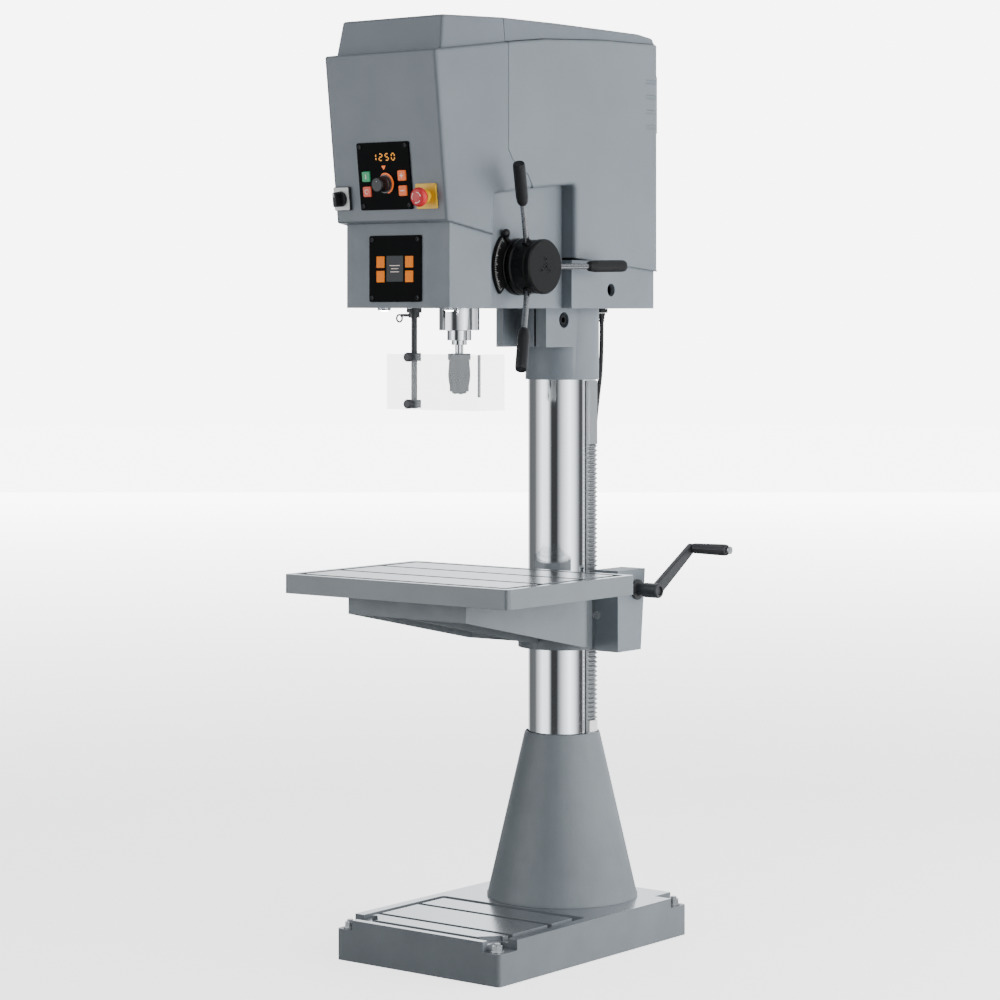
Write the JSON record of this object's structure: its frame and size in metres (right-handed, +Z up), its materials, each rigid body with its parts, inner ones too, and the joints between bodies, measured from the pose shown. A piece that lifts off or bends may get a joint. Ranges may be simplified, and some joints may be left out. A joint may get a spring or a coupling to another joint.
{
  "type": "drill press",
  "caption": "Floor-standing column drill press with a cranked lifting table, hand-fed quill, keyed chuck, clear chuck guard and front controls.",
  "frame": {"origin": "on the column's axis at floor level", "axes": "+Z up; the operator stands on the -Y side; the feed levers and the table crank are on the +X side"},
  "size_m": [0.5825, 0.8876, 1.856],
  "materials": {
    "black_gloss": "gloss",
    "black_plastic": "matte",
    "chrome": "polished",
    "chuck_steel": "satin",
    "clear_plastic": "gloss",
    "dark_paint": "satin",
    "dark_screw": "satin",
    "green_key": "satin",
    "grey_paint": "satin",
    "lamp": "satin",
    "machined_iron": "satin",
    "orange_key": "satin",
    "pale_paint": "satin",
    "red_key": "satin",
    "red_plastic": "gloss",
    "rubber": "matte",
    "steel": "satin",
    "white_plastic": "gloss"
  },
  "bodies": {
    "machine": {"base_plate": "grey_paint", "levelling_bolts": "steel", "column_foot": "grey_paint", "assembly_screws": "dark_screw", "column": "chrome", "head_casting": "pale_paint", "front_cover": "grey_paint", "rear_cover": "pale_paint", "lid_front": "grey_paint", "lid_rear": "grey_paint", "control_panel": "black_plastic", "display_panel": "black_plastic", "panel_screws": "steel", "switch_plates": "white_plastic", "motor": "dark_paint", "motor_plate": "grey_paint", "drive_belt": "rubber", "work_lights": "lamp", "spring_housing": "black_plastic", "cable_gland": "black_plastic", "power_cord": "rubber", "cord_coil": "rubber", "plug": "black_plastic"},
    "table_swing": {"rack": "steel", "rack_clip": "white_plastic"},
    "table_carriage": {"table_bracket": "grey_paint", "table": "machined_iron", "table_bolts": "dark_screw", "lift_housing": "pale_paint"},
    "crank": {"worm_shaft": "steel", "crank_arm": "dark_paint"},
    "crank_grip": {"crank_grip": "dark_paint"},
    "lift_pinion": {"lift_pinion": "steel"},
    "table_clamp": {"table_clamp_lever": "dark_paint"},
    "feed": {"feed_shaft": "steel", "feed_hub": "black_plastic", "hub_cap": "black_plastic", "feed_spokes": "steel", "feed_grips": "black_gloss"},
    "depth_ring": {"depth_ring": "black_plastic"},
    "quill": {"quill": "chrome", "spindle_bearings": "steel"},
    "spindle": {"spindle": "chrome", "chuck_body": "steel"},
    "chuck_sleeve": {"chuck_sleeve": "chuck_steel"},
    "chuck_jaw_1": {"chuck_jaw_1": "steel"},
    "chuck_jaw_2": {"chuck_jaw_2": "steel"},
    "chuck_jaw_3": {"chuck_jaw_3": "steel"},
    "spindle_pulley": {"spindle_pulley": "steel"},
    "motor_rotor": {"motor_pulley": "steel"},
    "guard_arm": {"guard_rod": "dark_paint"},
    "guard_shield": {"guard_shield": "clear_plastic", "guard_clamps": "dark_paint"},
    "estop_button": {"estop_button": "red_plastic"},
    "main_switch": {"main_switch_knob": "black_gloss"},
    "speed_dial": {"speed_dial": "black_plastic"},
    "start_key": {"start_key": "green_key"},
    "stop_key": {"stop_key": "red_key"},
    "faster_key": {"faster_key": "orange_key"},
    "slower_key": {"slower_key": "orange_key"}
  },
  "joints": [
    {"name": "table_swing", "type": "hinge", "parent": "machine", "child": "table_swing", "pos_m": [0, 0, 0.6], "axis": [0, 0, 1], "range_deg": [-90, 60]},
    {"name": "table_lift", "type": "slide", "parent": "table_swing", "child": "table_carriage", "axis": [0, 0, 1], "range_m": [-0.165, 0.19]},
    {"name": "crank_turn", "type": "hinge", "parent": "table_carriage", "child": "crank", "pos_m": [0.2, 0.048, 0.7155], "axis": [1, 0, 0], "range_deg": [-5920, 6820]},
    {"name": "crank_grip_spin", "type": "hinge", "parent": "crank", "child": "crank_grip", "pos_m": [0.26, 0.17436, 0.79446], "axis": [1, 0, 0], "continuous": true},
    {"name": "lift_pinion_turn", "type": "hinge", "parent": "table_carriage", "child": "lift_pinion", "pos_m": [0.1015, 0, 0.664], "axis": [0, 1, 0], "range_deg": [-456, 396]},
    {"name": "table_clamp_turn", "type": "hinge", "parent": "table_carriage", "child": "table_clamp", "pos_m": [-0.106, -0.03, 0.655], "axis": [0, 1, 0], "range_deg": [-40, 50]},
    {"name": "quill_feed", "type": "slide", "parent": "machine", "child": "quill", "axis": [0, 0, -1], "range_m": [0, 0.14], "stiffness_N_per_m": 500, "springref_m": -0.25},
    {"name": "feed_turn", "type": "hinge", "parent": "machine", "child": "feed", "pos_m": [0.108, -0.2875, 1.3705], "axis": [1, 0, 0], "range_deg": [0, 573.5]},
    {"name": "depth_ring_turn", "type": "hinge", "parent": "machine", "child": "depth_ring", "pos_m": [0.108, -0.2875, 1.3705], "axis": [1, 0, 0], "range_deg": [-120, 90]},
    {"name": "spindle_pulley_spin", "type": "hinge", "parent": "machine", "child": "spindle_pulley", "pos_m": [0, -0.338, 1.68], "axis": [0, 0, 1], "continuous": true},
    {"name": "spindle_spin", "type": "hinge", "parent": "quill", "child": "spindle", "pos_m": [0, -0.338, 1.3], "axis": [0, 0, 1], "continuous": true},
    {"name": "motor_spin", "type": "hinge", "parent": "machine", "child": "motor_rotor", "pos_m": [0, 0.03, 1.68], "axis": [0, 0, 1], "continuous": true},
    {"name": "chuck_sleeve_turn", "type": "hinge", "parent": "spindle", "child": "chuck_sleeve", "pos_m": [0, -0.338, 1.15], "axis": [0, 0, 1], "range_deg": [-1718, 1403]},
    {"name": "chuck_jaw_1_slide", "type": "slide", "parent": "spindle", "child": "chuck_jaw_1", "axis": [0, -0.2079, -0.9781], "range_m": [-0.012, 0.0098]},
    {"name": "chuck_jaw_2_slide", "type": "slide", "parent": "spindle", "child": "chuck_jaw_2", "axis": [0.1801, 0.104, -0.9781], "range_m": [-0.012, 0.0098]},
    {"name": "chuck_jaw_3_slide", "type": "slide", "parent": "spindle", "child": "chuck_jaw_3", "axis": [-0.1801, 0.104, -0.9781], "range_m": [-0.012, 0.0098]},
    {"name": "guard_swing", "type": "hinge", "parent": "machine", "child": "guard_arm", "pos_m": [-0.054, -0.412, 1.2], "axis": [0, 0, 1], "range_deg": [-100, 0]},
    {"name": "guard_height", "type": "slide", "parent": "guard_arm", "child": "guard_shield", "axis": [0, 0, 1], "range_m": [0, 0.06]},
    {"name": "estop_push", "type": "slide", "parent": "machine", "child": "estop_button", "axis": [0, 0.9934, 0.1149], "range_m": [0, 0.004], "stiffness_N_per_m": 800, "springref_m": -0.002},
    {"name": "main_switch_turn", "type": "hinge", "parent": "machine", "child": "main_switch", "pos_m": [-0.116, -0.5514, 1.50169], "axis": [0, -0.9934, -0.1149], "range_deg": [0, 90]},
    {"name": "speed_dial_turn", "type": "hinge", "parent": "machine", "child": "speed_dial", "pos_m": [-0.006, -0.55439, 1.52752], "axis": [0, -0.9934, -0.1149], "range_deg": [-150, 150]},
    {"name": "start_key_press", "type": "slide", "parent": "machine", "child": "start_key", "axis": [0, 0.9934, 0.1149], "range_m": [0, 0.001], "stiffness_N_per_m": 400, "springref_m": -0.001},
    {"name": "stop_key_press", "type": "slide", "parent": "machine", "child": "stop_key", "axis": [0, 0.9934, 0.1149], "range_m": [0, 0.001], "stiffness_N_per_m": 400, "springref_m": -0.001},
    {"name": "faster_key_press", "type": "slide", "parent": "machine", "child": "faster_key", "axis": [0, 0.9934, 0.1149], "range_m": [0, 0.001], "stiffness_N_per_m": 400, "springref_m": -0.001},
    {"name": "slower_key_press", "type": "slide", "parent": "machine", "child": "slower_key", "axis": [0, 0.9934, 0.1149], "range_m": [0, 0.001], "stiffness_N_per_m": 400, "springref_m": -0.001}
  ],
  "couplings": [
    {"joint": "crank_turn", "follows": "table_lift", "rad_per_m": 625},
    {"joint": "lift_pinion_turn", "follows": "table_lift", "rad_per_m": -41.667},
    {"joint": "feed_turn", "follows": "quill_feed", "rad_per_m": 71.429},
    {"joint": "spindle_spin", "follows": "spindle_pulley_spin", "ratio": 1},
    {"joint": "motor_spin", "follows": "spindle_pulley_spin", "ratio": 2},
    {"joint": "chuck_jaw_1_slide", "follows": "chuck_sleeve_turn", "m_per_rad": 0.0004},
    {"joint": "chuck_jaw_2_slide", "follows": "chuck_sleeve_turn", "m_per_rad": 0.0004},
    {"joint": "chuck_jaw_3_slide", "follows": "chuck_sleeve_turn", "m_per_rad": 0.0004}
  ]
}
